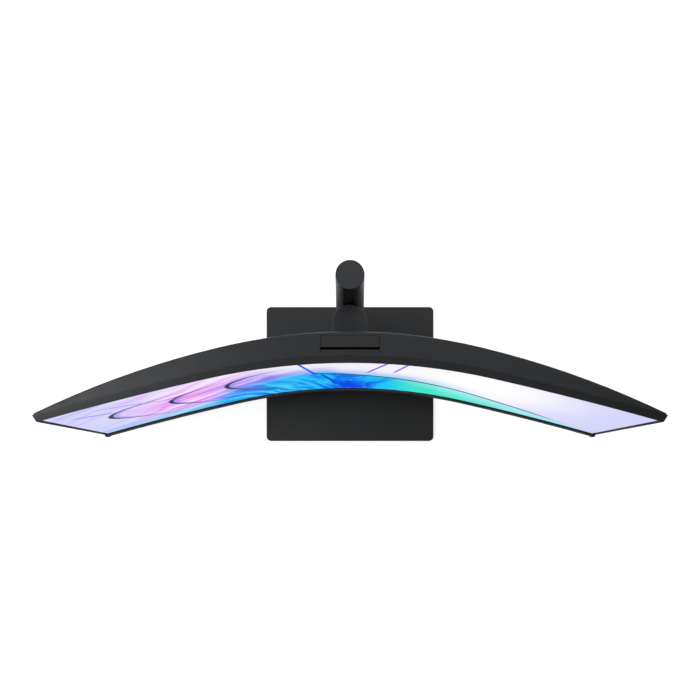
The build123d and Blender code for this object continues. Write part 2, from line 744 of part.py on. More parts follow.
def joystick_stem():
    stem = rod_z(0, STICK_Y, 2.0, 58.6, STICK_PIVOT_Z + 2)
    return stem + rod_y(0, STICK_PIVOT_Z, 0.6, STICK_Y - 5.2, STICK_Y + 5.2)


def joystick_cap():
    cap = rod_z(0, STICK_Y, 6.3, 55.0, 62.5)
    cap = fillet(cap.faces().sort_by(Axis.Z)[0].edges(), 1.2)
    return cap - rod_z(0, STICK_Y, 2.0 + RUNNING, 57.2, 70)


def power_button():
    pin = rod_z(POWER_X, POWER_Y, 4.9, 57.6, 64)
    pin = fillet(pin.faces().sort_by(Axis.Z)[0].edges(), 0.6)
    return pin + rod_z(POWER_X, POWER_Y, 6.2, 62.6, 64.2) + rod_z(POWER_X, POWER_Y, 1.5, 64, 66.2)


def power_inlet():
    """Three-pin mains inlet that faces down into its bay."""
    x0, x1, y0, y1 = INLET
    body = block(x0, x1, y0, y1, BAY_Z1 - 1.0, BAY_Z1 + 20)
    body -= block(x0 + 1, x1 - 1, y0 + 1, y1 - 1, BAY_Z1 - 2, BAY_Z1 + 16)
    mid = (x0 + x1) / 2
    for x, y in ((mid - 7, -8.5), (mid + 7, -8.5), (mid, -4.5)):
        body += block(x - 1, x + 1, y - 2, y + 2, BAY_Z1 + 3, BAY_Z1 + 17)
    return body


ROCKER_X = (ROCKER[0] + ROCKER[1]) / 2
ROCKER_Y = (ROCKER[2] + ROCKER[3]) / 2
ROCKER_PIVOT_Z = BAY_Z1 + 5.0
ROCKER_TILT = 8.0


def rocker_housing():
    x0, x1, y0, y1 = ROCKER
    body = block(x0 - 1.5, x1 + 1.5, y0 - 1.5, y1 + 1.5, BAY_Z1 - 0.8, BAY_Z1 + 16)
    body -= block(x0, x1, y0, y1, BAY_Z1 - 2, BAY_Z1 + 13)
    return body - rod_y(ROCKER_X, ROCKER_PIVOT_Z, 1.25, y0 - 1.2, y1 + 1.2)


def power_rocker():
    """Mains rocker: a key with two faces in a shallow V, tipped to one side, on a pivot pin along Y."""
    y0, y1 = ROCKER[2] + 0.5, ROCKER[3] - 0.5
    outline = Polyline((-9.3, -7.0), (0, -5.6), (9.3, -7.0), (8.6, 2.5), (-8.6, 2.5), close=True)
    key = Pos(0, y0, 0) * extrude(make_face(Plane.XZ * outline), y1 - y0, dir=(0, 1, 0))
    key = Pos(ROCKER_X, 0, ROCKER_PIVOT_Z) * Rot(0, ROCKER_TILT, 0) * key
    return key + rod_y(ROCKER_X, ROCKER_PIVOT_Z, 1.2, ROCKER[2] - 1.1, ROCKER[3] + 1.1)


def port_shells(row, lift):
    """Metal socket shells with a tongue inside, facing down from the bay's roof."""
    shells = []
    for x, width, depth in row:
        def centred(w, d, z0, z1):
            return block(x - w / 2, x + w / 2, PORT_Y - d / 2, PORT_Y + d / 2, z0, z1)

        shell = centred(width, depth, BAY_Z1 - 0.4, BAY_Z1 + lift)
        shell -= centred(width - 1, depth - 1, BAY_Z1 - 1, BAY_Z1 + lift - 1.5)
        shells.append(shell + centred(width - 4, (depth - 1) * 0.3, BAY_Z1 + 0.8, BAY_Z1 + lift - 1))
    return Compound(shells)


# ---------------------------------------------------------------- webcam

def webcam_guide():
    """Well that the webcam slides in, with the sunk ledge in front of it."""
    y0 = CAM_Y[0] - WELL_GAP
    y1 = CAM_Y[1] + 0.3
    half = CAM_HALF_X + 0.6
    body = block(-half - 2, half + 2, y0 - 2, y1 + 2, 345.5, 387.8)
    body += block(-half - 0.3, half + 0.3, y0 - WELL_LEDGE + 0.1, y0 - 1, 384.6, 387.8)
    return body - block(-half, half, y0, y1, 347.5, 400)


def webcam_housing():
    body = block(-CAM_HALF_X, CAM_HALF_X, *CAM_Y, *CAM_Z)
    body = fillet(body.edges().filter_by(Axis.Z), 1.0)
    half = CAM_HALF_X - CAM_WALL
    body -= block(-half, half, CAM_Y[0] + CAM_WALL, CAM_Y[1] - CAM_WALL, CAM_Z[0] - 1, CAM_Z[1] - CAM_WALL)
    return body - rod_y(0, CAM_Z[1] - LENS_DROP, LENS_R + 0.1, CAM_Y[0] - 1, CAM_Y[0] + 3)


def webcam_lens():
    """Lens barrel with its front glass set back inside the rim."""
    z = CAM_Z[1] - LENS_DROP
    barrel = rod_y(0, z, LENS_R, CAM_Y[0] + 0.2, CAM_Y[0] + 11)
    return barrel - rod_y(0, z, LENS_R - 1.8, CAM_Y[0] - 1, CAM_Y[0] + 1.2)


def webcam_board():
    return block(-45, 45, CAM_Y[0] + 11.1, CAM_Y[0] + 12.3, CAM_Z[0] + 4, CAM_Z[1] - 4)


PIECES = {
    "base_cover": base_cover,
    "base_weight_plate": base_weight_plate,
    "base_pan": base_pan,
    "base_screws": base_screws,
    "base_feet": base_feet,
    "swivel_washer": swivel_washer,
    "swivel_hub": swivel_hub,
    "swivel_retainer": swivel_retainer,
    "swivel_screws": swivel_screws,
    "column_foot": column_foot,
    "column_shell": column_shell,
    "column_cap": column_cap,
    "cable_grommet": cable_grommet,
    "guide_rods": guide_rods,
    "upper_rod_bracket": upper_rod_bracket,
    "spring_drum": spring_drum,
    "spring_coil": spring_coil,
    "spring_strip": spring_strip,
    "carriage_block": carriage_block,
    "rod_bushings": rod_bushings,
    "neck_bracket": neck_bracket,
    "neck_upper_cover": neck_upper_cover,
    "neck_lower_cover": neck_lower_cover,
    "friction_washers": friction_washers,
    "tilt_shaft": tilt_shaft,
    "tilt_yoke": tilt_yoke,
    "quick_release_plate": quick_release_plate,
    "release_button": release_button,
    "vesa_bracket": vesa_bracket,
    "rear_cover": rear_cover,
    "electronics_cover": electronics_cover,
    "port_cover": port_cover,
    "cover_screws": cover_screws,
    "front_frame": front_frame,
    "bottom_bezel": bottom_bezel,
    "lcd_panel": lambda: strip(0, 1.6, PANEL_HALF_X, 70, PANEL_TOP),
    "diffuser_films": lambda: strip(1.7, 2.5, PANEL_HALF_X, 70, PANEL_TOP),
    "light_guide": lambda: strip(2.6, 5.6, PANEL_HALF_X, 70, PANEL_TOP),
    "led_bar": led_bar,
    "panel_chassis": panel_chassis,
    "board_tray": board_tray,
    "main_board": main_board,
    "power_board": power_board,
    "panel_driver_board": panel_driver_board,
    "ribbon_cable": ribbon_cable,
    "speakers": speakers,
    "control_board": control_board,
    "joystick_switch": joystick_switch,
    "joystick_gimbal": joystick_gimbal,
    "joystick_stem": joystick_stem,
    "joystick_cap": joystick_cap,
    "power_button": power_button,
    "power_inlet": power_inlet,
    "rocker_housing": rocker_housing,
    "power_rocker": power_rocker,
    "sockets": lambda: Compound([port_shells(SOCKETS["video"], 12), port_shells(SOCKETS["usb"], 12)]),
    "webcam_guide": webcam_guide,
    "webcam_housing": webcam_housing,
    "webcam_lens": webcam_lens,
    "webcam_board": webcam_board,
}

for name, make in PIECES.items():
    save(name, make())
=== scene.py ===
import json
import math

import bmesh
import bpy
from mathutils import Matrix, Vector


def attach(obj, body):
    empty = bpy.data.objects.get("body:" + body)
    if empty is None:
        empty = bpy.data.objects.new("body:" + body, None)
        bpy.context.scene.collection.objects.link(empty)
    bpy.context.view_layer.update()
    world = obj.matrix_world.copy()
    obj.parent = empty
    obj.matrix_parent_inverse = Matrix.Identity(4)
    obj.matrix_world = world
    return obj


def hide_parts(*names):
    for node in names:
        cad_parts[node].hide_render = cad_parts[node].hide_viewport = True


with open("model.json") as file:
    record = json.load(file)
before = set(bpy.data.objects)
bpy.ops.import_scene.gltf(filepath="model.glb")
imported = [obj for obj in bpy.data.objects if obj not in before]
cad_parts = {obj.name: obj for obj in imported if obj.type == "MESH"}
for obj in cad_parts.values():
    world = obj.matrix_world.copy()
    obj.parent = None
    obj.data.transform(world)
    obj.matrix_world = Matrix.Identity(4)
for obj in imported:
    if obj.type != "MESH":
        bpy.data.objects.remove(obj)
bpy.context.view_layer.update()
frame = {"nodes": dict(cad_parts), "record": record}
NODES = frame["nodes"]
MM = 0.001

# The lit picture area, as half width and heights in metres
ACTIVE_HALF_X = 0.533
ACTIVE_Z = (0.0774, 0.3834)

# Middle arc of the screen's face, and how far in front of it the painted highlight line on the bezel runs
SCREEN_RADIUS = 1.127
SCREEN_CENTRE_Y = -1.1687
HIGHLIGHT_INSET = 2.8 * MM

# Camera straight above, a little in front of the stand
CAMERA_Y = -0.2462
CAMERA_Z = 1.512
CAMERA_LENS = 33.53
CAMERA_SHIFT_Y = 0.187
SENSOR_WIDTH = 36.0

# Lines in the lit picture, in shares of its half width and its height.
# Hooked ones: tip across, tip up, bend. Ones down from the top edge: foot across, lean, reach, colour.
# Ones at the far left: level, left end, right end, colour
HOOKED_LINES = ((-0.873, 0.52, 2.1), (-0.653, 0.52, 1.8), (-0.442, 0.60, 1.6))
TOP_LINES = (
    (-0.122, -0.12, 0.56, (0.0, 0.07, 0.95)),
    (0.05, 0.19, 0.62, (0.24, 0.04, 0.90)),
    (0.14, 0.13, 0.66, (0.40, 0.14, 0.90)),
)
LEFT_LINES = (
    (-0.255, -0.95, -0.85, (0.14, 0.16, 0.90)),
    (-0.076, -0.85, -0.67, (0.14, 0.40, 0.94)),
)

# Dark grey of the covers and the stand
CHARCOAL = (0.0128, 0.0134, 0.0150)

# Pieces of the stand in a lighter copy of its dark grey: painted light on the column and neck
PAINTED_LIGHTER_NODES = ("column_shell", "column_foot", "column_cap", "neck_upper_cover", "neck_lower_cover")

# Width in millimetres of the broken edge on each piece that shows
SOFT_EDGES = {
    "base_cover": 0.4, "neck_upper_cover": 0.4, "neck_lower_cover": 0.4,
    "front_frame": 0.35, "bottom_bezel": 0.35, "rear_cover": 0.35,
    "webcam_housing": 0.3, "webcam_guide": 0.3, "column_shell": 0.3, "column_foot": 0.3,
    "power_rocker": 0.3, "release_button": 0.3, "quick_release_plate": 0.3, "joystick_cap": 0.3,
    "column_cap": 0.25, "power_button": 0.2,
}

# Edges that turn by more than the first angle are broken; below the second, faces are shaded as one.
# Points nearer than the distance are joined
BROKEN_EDGE_ANGLE = math.radians(40)
SMOOTH_ANGLE = math.radians(30)
WELD_DISTANCE = 0.002 * MM

# Lathe profile of a screw: (share of the head's radius, share of its length from the head's face)
SCREW_PROFILE = (
    (0.80, 0.0), (0.92, 0.012), (0.98, 0.035), (1.0, 0.075), (1.0, 0.26),
    (0.48, 0.27), (0.48, 0.93), (0.28, 1.0),
)
SCREW_SIDES = 32
# Cross recess in millimetres: half length and half width of its arms, at its mouth and its floor, and depth
CROSS_MOUTH = (1.75, 0.42)
CROSS_FLOOR = (1.15, 0.26)
CROSS_DEPTH = 1.2

# Stage, in metres: reach of the floor each way, radius of the dome and the height at which it is cut off
FLOOR_REACH = 8.0
DOME_RADIUS = 7.5
DOME_CUT_Z = -0.01

# Lights: name, place, target and side of the square in metres, and power in watts
LIGHTS = (
    ("key", (-1.4, -0.1, 2.3), (0, 0, 0.3), 1.3, 22),
    ("back", (0.1, 1.7, 2.0), (0, 0, 0.3), 1.3, 14),
    ("side", (0.95, 0.75, 2.5), (0, 0, 0.3), 1.0, 4),
    ("front", (0.35, -1.1, 2.3), (0, 0, 0.1), 1.0, 2.5),
)
LIGHT_COLOUR = (0.95, 0.975, 1.0)
SKY_COLOUR = (0.95, 0.98, 1.0, 1)
SKY_STRENGTH = 0.16


# ---------------------------------------------------------------- shader helpers

class Field:
    """A number that varies over a surface; arithmetic on it adds math nodes."""

    def __init__(self, tree, value):
        self.tree = tree
        self.value = value

    def op(self, name, *others):
        node = self.tree.nodes.new("ShaderNodeMath")
        node.operation = name
        for slot, item in zip(node.inputs, (self, *others)):
            if isinstance(item, Field):
                self.tree.links.new(item.value, slot)
            else:
                slot.default_value = item
        return Field(self.tree, node.outputs[0])

    def __add__(self, other):
        return self.op("ADD", other)

    def __sub__(self, other):
        return self.op("SUBTRACT", other)

    def __mul__(self, other):
        return self.op("MULTIPLY", other)

    def __truediv__(self, other):
        return self.op("DIVIDE", other)

    def rsub(self, number):
        """number minus this field"""
        return self.op("MULTIPLY", -1.0) + number

    def span(self, low, high, to_low=0.0, to_high=1.0):
        """Smooth step from one value to another as the field goes from low to high."""
        node = self.tree.nodes.new("ShaderNodeMapRange")
        node.interpolation_type = "SMOOTHSTEP"
        self.tree.links.new(self.value, node.inputs["Value"])
        for key, number in (("From Min", low), ("From Max", high), ("To Min", to_low), ("To Max", to_high)):
            node.inputs[key].default_value = number
        return Field(self.tree, node.outputs[0])


def start(name, metallic=0.0, rough=0.5, specular=0.5, coat=0.0):
    """New material with its tree and shader; the plain numbers sit on the shader."""
    mat = bpy.data.materials.new(name)
    mat.use_nodes = True
    tree = mat.node_tree
    shader = tree.nodes["Principled BSDF"]
    shader.inputs["Metallic"].default_value = metallic
    shader.inputs["Roughness"].default_value = rough
    shader.inputs["Specular IOR Level"].default_value = specular
    shader.inputs["Coat Weight"].default_value = coat
    return mat, tree, shader


def coords(tree, scale=(1, 1, 1), turn=(0, 0, 0)):
    """Object coordinates, stretched and turned."""
    source = tree.nodes.new("ShaderNodeTexCoord")
    mapping = tree.nodes.new("ShaderNodeMapping")
    mapping.inputs["Scale"].default_value = scale
    mapping.inputs["Rotation"].default_value = turn
    tree.links.new(source.outputs["Object"], mapping.inputs["Vector"])
    return mapping.outputs[0]


def axes(tree, kind="Object"):
    """X, Y and Z of the object's coordinates, or of its normal, as three fields."""
    source = tree.nodes.new("ShaderNodeTexCoord")
    split = tree.nodes.new("ShaderNodeSeparateXYZ")
    tree.links.new(source.outputs[kind], split.inputs[0])
    return [Field(tree, socket) for socket in split.outputs]


def noise(tree, vector, scale, detail=3.0, rough=0.55):
    node = tree.nodes.new("ShaderNodeTexNoise")
    node.inputs["Scale"].default_value = scale
    node.inputs["Detail"].default_value = detail
    node.inputs["Roughness"].default_value = rough
    tree.links.new(vector, node.inputs["Vector"])
    return Field(tree, node.outputs[0])


def ramp(field, stops):
    """Colour ramp; stops are (position, (r, g, b))."""
    node = field.tree.nodes.new("ShaderNodeValToRGB")
    items = node.color_ramp.elements
    while len(items) < len(stops):
        items.new(0.5)
    for item, (place, colour) in zip(items, stops):
        item.position = place
        item.color = (*colour, 1.0)
    field.tree.links.new(field.value, node.inputs[0])
    return node.outputs[0]


def mix(tree, amount, low, high):
    """Blend two colours; each is a socket or an (r, g, b)."""
    node = tree.nodes.new("ShaderNodeMix")
    node.data_type = "RGBA"
    tree.links.new(amount.value, node.inputs[0])
    for slot, colour in ((node.inputs[6], low), (node.inputs[7], high)):
        if isinstance(colour, tuple):
            slot.default_value = (*colour, 1.0)
        else:
            tree.links.new(colour, slot)
    return node.outputs[2]


def bump(tree, shader, height, strength, distance):
    node = tree.nodes.new("ShaderNodeBump")
    node.inputs["Strength"].default_value = strength
    node.inputs["Distance"].default_value = distance
    tree.links.new(height.value, node.inputs["Height"])
    tree.links.new(node.outputs[0], shader.inputs["Normal"])


def feeding(shader, name):
    """The socket that feeds one of the shader's inputs."""
    return shader.inputs[name].links[0].from_socket


def shade(colour, factor):
    return tuple(c * factor for c in colour)


# ---------------------------------------------------------------- materials

def moulded_plastic(name, colour, rough=0.45, grain=0.35 * MM, spread=0.18, relief=0.10):
    """Spark-eroded plastic: fine grain, soft mottling, roughness that wanders a little."""
    mat, tree, shader = start(name, rough=rough)
    where = coords(tree)
    mottle = noise(tree, where, 14.0, 4.0)
    fine = noise(tree, where, 1.0 / grain, 2.0)
    tone = mottle * 0.65 + fine * 0.35
    tree.links.new(ramp(tone, [(0.30, shade(colour, 1 - spread)), (0.70, shade(colour, 1 + spread))]),
                   shader.inputs["Base Color"])
    tree.links.new((noise(tree, where, 60.0) * 0.14 + (rough - 0.07)).value, shader.inputs["Roughness"])
    bump(tree, shader, fine, relief, 0.08 * MM)
    return mat


def frame_plastic_painted_shade(name, colour):
    """Moulded plastic with painted shade: its faces round the screen are painted near black, and made
    rougher.
    """
    mat = moulded_plastic(name, colour, 0.40, grain=0.25 * MM)
    tree = mat.node_tree
    shader = tree.nodes["Principled BSDF"]
    front = axes(tree, "Normal")[1].span(-0.35, -0.55)
    tone = feeding(shader, "Base Color")
    rough = Field(tree, feeding(shader, "Roughness"))
    # Painted shade: faces that look forward are painted near black
    tree.links.new(mix(tree, front, tone, (0.002, 0.002, 0.002)), shader.inputs["Base Color"])
    tree.links.new((rough + front * 0.45).value, shader.inputs["Roughness"])
    return mat


def bezel_painted_highlight(name, colour):
    """Frame plastic, with its painted shade, and a painted highlight: a paler line along the middle of its
    top edge that fades out towards the ends.
    """
    mat = frame_plastic_painted_shade(name, colour)
    tree = mat.node_tree
    shader = tree.nodes["Principled BSDF"]
    x, y, _ = axes(tree)
    facing_up = axes(tree, "Normal")[2].span(0.4, 0.8)
    y = y - SCREEN_CENTRE_Y
    offset = (x * x + y * y).op("SQRT") - (SCREEN_RADIUS - HIGHLIGHT_INSET)
    # Painted highlight: a paler grey line on the up-facing top edge, strongest in the middle and fading out
    # towards the ends
    line = offset.op("ABSOLUTE").span(1.4 * MM, 0.6 * MM) * x.op("ABSOLUTE").span(0.26, 0.17) * facing_up
    tone = feeding(shader, "Base Color")
    tree.links.new(mix(tree, line, tone, (0.075, 0.075, 0.077)), shader.inputs["Base Color"])
    return mat


def powder_coat(name, colour):
    """Painted metal with a fine orange-peel texture and a few lighter specks."""
    mat, tree, shader = start(name, rough=0.42)
    where = coords(tree)
    peel = noise(tree, where, 900.0, 2.0)
    speck = noise(tree, where, 2600.0, 1.0).span(0.66, 0.74)
    base = ramp(noise(tree, where, 9.0, 4.0), [(0.3, shade(colour, 0.86)), (0.7, shade(colour, 1.14))])
    tree.links.new(mix(tree, speck, base, shade(colour, 1.9)), shader.inputs["Base Color"])
    tree.links.new((noise(tree, where, 35.0) * 0.16 + 0.36).value, shader.inputs["Roughness"])
    bump(tree, shader, peel, 0.16, 0.10 * MM)
    return mat


def sheet_metal(name, colour, stretch=(1, 1, 40), rough=0.34):
    """Rolled or brushed metal: long fine streaks in colour, roughness and relief."""
    mat, tree, shader = start(name, metallic=1.0, rough=rough)
    streak = noise(tree, coords(tree, stretch), 60.0, 5.0)
    tree.links.new(ramp(streak, [(0.25, shade(colour, 0.80)), (0.75, shade(colour, 1.12))]),
                   shader.inputs["Base Color"])
    tree.links.new((streak * 0.22 + (rough - 0.10)).value, shader.inputs["Roughness"])
    bump(tree, shader, streak, 0.08, 0.05 * MM)
    return mat


def cast_metal(name, colour):
    mat, tree, shader = start(name, metallic=1.0, rough=0.5)
    where = coords(tree)
    pits = noise(tree, where, 700.0, 4.0)
    tree.links.new(ramp(noise(tree, where, 40.0), [(0.3, shade(colour, 0.82)), (0.7, shade(colour, 1.08))]),
                   shader.inputs["Base Color"])
    tree.links.new((pits * 0.25 + 0.38).value, shader.inputs["Roughness"])
    bump(tree, shader, pits, 0.25, 0.12 * MM)
    return mat


def circuit_board(name, colour):
    """Solder resist with paler copper tracks under it."""
    mat, tree, shader = start(name, rough=0.32, coat=0.25)
    tracks = noise(tree, coords(tree, (1, 1, 0.25)), 320.0, 1.0).span(0.52, 0.56)
    vias = noise(tree, coords(tree), 1500.0, 0.0).span(0.74, 0.78)
    base = mix(tree, tracks, colour, shade(colour, 1.9))
    tree.links.new(mix(tree, vias, base, (0.62, 0.58, 0.42)), shader.inputs["Base Color"])
    bump(tree, shader, tracks, 0.2, 0.05 * MM)
    return mat


def rubber(name):
    mat, tree, shader = start(name, rough=0.85, specular=0.3)
    where = coords(tree)
    dust = noise(tree, where, 500.0, 4.0)
    tree.links.new(ramp(dust, [(0.35, (0.012, 0.012, 0.012)), (0.8, (0.035, 0.034, 0.033))]),
                   shader.inputs["Base Color"])
    bump(tree, shader, dust, 0.4, 0.15 * MM)
    return mat


def lens_glass(name):
    """Dark coated lens with a painted reflection: a violet-green tint that grows towards its rim."""
    mat, tree, shader = start(name, rough=0.06, specular=0.9, coat=1.0)
    painted_reflection = tree.nodes.new("ShaderNodeLayerWeight")
    painted_reflection.inputs["Blend"].default_value = 0.4
    # Painted reflection of the coating, set by how squarely the surface faces the view
    tree.links.new(ramp(Field(tree, painted_reflection.outputs["Facing"]),
                        [(0.0, (0.004, 0.004, 0.008)), (0.6, (0.02, 0.01, 0.05)), (1.0, (0.02, 0.06, 0.05))]),
                   shader.inputs["Base Color"])
    return mat


class Picture:
    """What the screen shows: u runs from -1 to 1 across it and v from 0 to 1 up it."""

    def __init__(self, tree, colour):
        x, _, z = axes(tree)
        low, high = ACTIVE_Z
        self.tree = tree
        self.colour = colour
        self.u = u = x / ACTIVE_HALF_X
        self.v = v = (z - low) / (high - low)
        # Slow swirls that push every patch out of round
        push = self.grain(u * 2.2, v, 1.3, 2.0) - 0.5
        self.swirl_u = u + push * 0.22
        self.swirl_v = v + push * 0.55
        # Silky streaks that run across the left half and fan out from the foot of the middle
        self.slope = v - u * 0.9
        self.silk = self.grain(self.slope * 7.0 + push * 3.0, u * 1.6, 1.6)
        self.fine_silk = self.grain(self.slope * 20.0 + push * 5.0, u * 2.0, 1.4)
        self.fan_angle = (v + 0.5).op("ARCTAN2", u - 0.03)
        self.rays = self.grain(self.fan_angle * 9.0 + push * 4.0, v * 1.5, 1.5)

    def grain(self, across, along, scale, detail=3.0):
        """Noise over two fields of its own."""
        join = self.tree.nodes.new("ShaderNodeCombineXYZ")
        self.tree.links.new(across.value, join.inputs[0])
        self.tree.links.new(along.value, join.inputs[1])
        return noise(self.tree, join.outputs[0], scale, detail, 0.5)

    def glow(self, centre_u, centre_v, reach_u, reach_v):
        """Soft round patch, 1 near its centre and 0 at its reach."""
        a = (self.swirl_u - centre_u) / reach_u
        b = (self.swirl_v - centre_v) / reach_v
        return (a * a + b * b).op("SQRT").span(1.0, 0.15)

    def paint(self, amount, tone):
        """Lay a colour over what is there."""
        self.colour = mix(self.tree, amount, self.colour, tone)


def paint_ground(picture):
    """Lavender ends, a white right of the middle, and faint streaks on the left."""
    u = picture.u
    picture.paint(u.op("ABSOLUTE").span(0.30, 1.0), (0.66, 0.66, 0.97))
    picture.paint(picture.glow(0.42, 0.70, 0.50, 0.75), (1.0, 1.0, 1.0))
    picture.paint(picture.silk.span(0.50, 0.72) * u.span(-0.05, -0.5) * 0.8, (0.56, 0.46, 0.97))
    picture.paint(picture.fine_silk.span(0.58, 0.70) * u.span(-0.45, -0.8) * 0.6, (0.22, 0.42, 0.94))


def paint_silk(picture):
    """Pink and violet silk, with a cyan foot on the left."""
    glow, silk, fine_silk = picture.glow, picture.silk, picture.fine_silk
    picture.paint(silk.span(0.40, 0.58) * glow(-0.55, 0.55, 0.42, 0.62), (0.84, 0.16, 0.90))
    picture.paint(fine_silk.span(0.44, 0.60) * glow(-0.52, 0.60, 0.36, 0.52) * 0.7, (0.96, 0.72, 0.99))
    picture.paint(glow(-0.27, 0.62, 0.30, 0.34) * silk.span(0.30, 0.60, 0.45, 0.95), (0.26, 0.16, 0.93))
    picture.paint(glow(-0.66, -0.12, 0.50, 0.52) * silk.span(0.30, 0.60, 0.3, 1.0), (0.05, 0.56, 0.93))


def paint_fan(picture):
    """Blue fan over the foot of the middle, with a deep blue heart and pale flecks."""
    tree, glow, rays = picture.tree, picture.glow, picture.rays
    blue = mix(tree, rays.span(0.34, 0.60), (0.0, 0.15, 0.92), (0.01, 0.52, 1.0))
    blue = mix(tree, glow(-0.30, 0.25, 0.30, 0.5) * rays.span(0.46, 0.60), blue, (0.08, 0.66, 0.99))
    fan = glow(-0.10, -0.02, 0.66, 1.02)
    picture.paint(fan.span(0.10, 0.46) * picture.u.span(0.42, 0.22), blue)
    picture.paint(glow(-0.01, 0.12, 0.12, 0.40) * 0.9, (0.0, 0.06, 0.86))
    flecks = picture.grain(picture.slope * 9.0, picture.fan_angle * 6.0, 2.2, 4.0)
    picture.paint(flecks.span(0.60, 0.74) * fan.span(0.2, 0.6) * 0.55, (0.46, 0.80, 1.0))


def sweep(distance, width, strength):
    """Thin soft-edged line where the distance is zero."""
    return distance.op("ABSOLUTE").span(width, width * 0.3) * strength


def paint_wedge(picture):
    """Mint wedge along the lower right, under a thin dark line with a pale blue haze above it."""
    tree, u = picture.tree, picture.u
    edge = (u * u * 0.10 + u * 0.52).rsub(0.60)
    above = picture.v - edge
    haze = above.span(0.26, 0.03) * above.span(-0.01, 0.01) * u.span(-0.10, 0.04) * u.span(0.60, 0.30)
    picture.paint(haze * 0.75, (0.46, 0.68, 0.97))
    mint = mix(tree, u.span(0.10, 0.30), (0.02, 0.72, 0.88), (0.06, 0.84, 0.62))
    mint = mix(tree, u.span(0.30, 0.85), mint, (0.36, 0.80, 0.96))
    mint = mix(tree, above.span(-0.26, 0.0) * u.span(0.10, 0.4) * 0.75, mint, (0.40, 0.88, 0.90))
    picture.paint(above.span(0.006, -0.006) * u.span(0.04, 0.26), mint)
    ends = u.span(-0.14, -0.12) * u.span(0.90, 0.70)
    picture.paint(sweep(above, 0.024, 0.95) * ends, (0.0, 0.05, 0.16))


def paint_lines(picture):
    """Long hooked lines, short ones from the top edge and at the far left, and a curved one up the fan."""
    u, v = picture.u, picture.v
    for tip_u, tip_v, bend in HOOKED_LINES:
        across = u - tip_u
        rise = (v - tip_v) + across * 0.42
        hook = across - rise * rise * bend
        picture.paint(sweep(hook - 0.012, 0.026, 0.55) * across.span(0.20, 0.0), (0.16, 0.20, 0.86))
        picture.paint(sweep(hook, 0.013, 1.0) * across.span(0.34, 0.04), (0.0, 0.0, 0.01))
    for foot_u, lean, reach, tone in TOP_LINES:
        path = (u - foot_u) - (v - 0.62) * lean
        picture.paint(sweep(path, 0.008, 1.0) * v.span(reach, reach + 0.12), tone)
    for level, left, right, tone in LEFT_LINES:
        path = v + u * 1.1 - level + (u - left) * (u - right) * 2.0
        ends = u.span(left - 0.03, left + 0.04) * u.span(right + 0.12, right - 0.06)
        picture.paint(sweep(path, 0.020, 0.95) * ends, tone)
    fall = v - 0.10
    curve = (u + 0.055) + fall * fall * 0.18
    picture.paint(sweep(curve, 0.010, 0.9) * v.span(0.08, 0.40) * v.span(0.66, 0.58), (0.0, 0.03, 0.42))


def display_picture(name):
    """Lit anti-glare screen: an abstract wash of colour inside a black border."""
    mat, tree, shader = start(name, rough=0.34, specular=0.12)
    shader.inputs["Base Color"].default_value = (0.0015, 0.0015, 0.002, 1)
    shader.inputs["IOR"].default_value = 1.08
    picture = Picture(tree, (0.93, 0.90, 1.0))
    for paint_layer in (paint_ground, paint_silk, paint_fan, paint_wedge, paint_lines):
        paint_layer(picture)
    u, v = picture.u, picture.v
    inside = u.op("ABSOLUTE").span(1.0006, 0.9994) * v.span(-0.002, 0.002) * v.span(1.002, 0.998)
    tree.links.new(mix(tree, inside, (0.0, 0.0, 0.0), picture.colour), shader.inputs["Emission Color"])
    shader.inputs["Emission Strength"].default_value = 0.95
    bump(tree, shader, noise(tree, coords(tree), 3200.0, 1.0), 0.05, 0.03 * MM)
    return mat


def make_materials():
    """One material for each slot of the record, and two more, each with painted light, for the nodes that
    differ from their slot.
    """
    return {
        "stand_finish": powder_coat("stand_finish", shade(CHARCOAL, 0.9)),
        "cover_plastic": moulded_plastic("cover_plastic", CHARCOAL, 0.44),
        # Painted light: a lighter copy of the stand's dark grey
        "column_painted_lighter": moulded_plastic("column_painted_lighter", shade(CHARCOAL, 1.6), 0.46),
        "frame_plastic": frame_plastic_painted_shade("frame_plastic", shade(CHARCOAL, 0.62)),
        "bezel_plastic_painted_highlight": bezel_painted_highlight("bezel_plastic_painted_highlight", shade(CHARCOAL, 0.62)),
        "black_plastic": moulded_plastic("black_plastic", (0.009, 0.009, 0.010), 0.5),
        "nylon": moulded_plastic("nylon", (0.62, 0.60, 0.55), 0.5, spread=0.05),
        "acrylic": moulded_plastic("acrylic", (0.70, 0.76, 0.80), 0.12, spread=0.03, relief=0.03),
        "film": moulded_plastic("film", (0.80, 0.80, 0.80), 0.6, spread=0.03),
        "display": display_picture("display"),
        "rubber": rubber("rubber"),
        "steel": sheet_metal("steel", (0.48, 0.49, 0.50)),
        "rod_chrome": sheet_metal("rod_chrome", (0.75, 0.75, 0.76), (40, 40, 1), 0.16),
        "screw_steel": sheet_metal("screw_steel", (0.10, 0.10, 0.105), (1, 1, 1), 0.40),
        "brass_washer": sheet_metal("brass_washer", (0.62, 0.42, 0.14), (1, 30, 1), 0.30),
        "cast_alloy": cast_metal("cast_alloy", (0.52, 0.53, 0.54)),
        "board_green": circuit_board("board_green", (0.012, 0.11, 0.045)),
        "led_strip": circuit_board("led_strip", (0.72, 0.72, 0.66)),
        "ribbon": sheet_metal("ribbon", (0.66, 0.65, 0.60), (60, 1, 1), 0.45),
        "speaker_plastic": moulded_plastic("speaker_plastic", (0.015, 0.015, 0.015), 0.6),
        "socket_metal": sheet_metal("socket_metal", (0.58, 0.58, 0.57), (1, 1, 12), 0.28),
        "lens_glass": lens_glass("lens_glass"),
    }


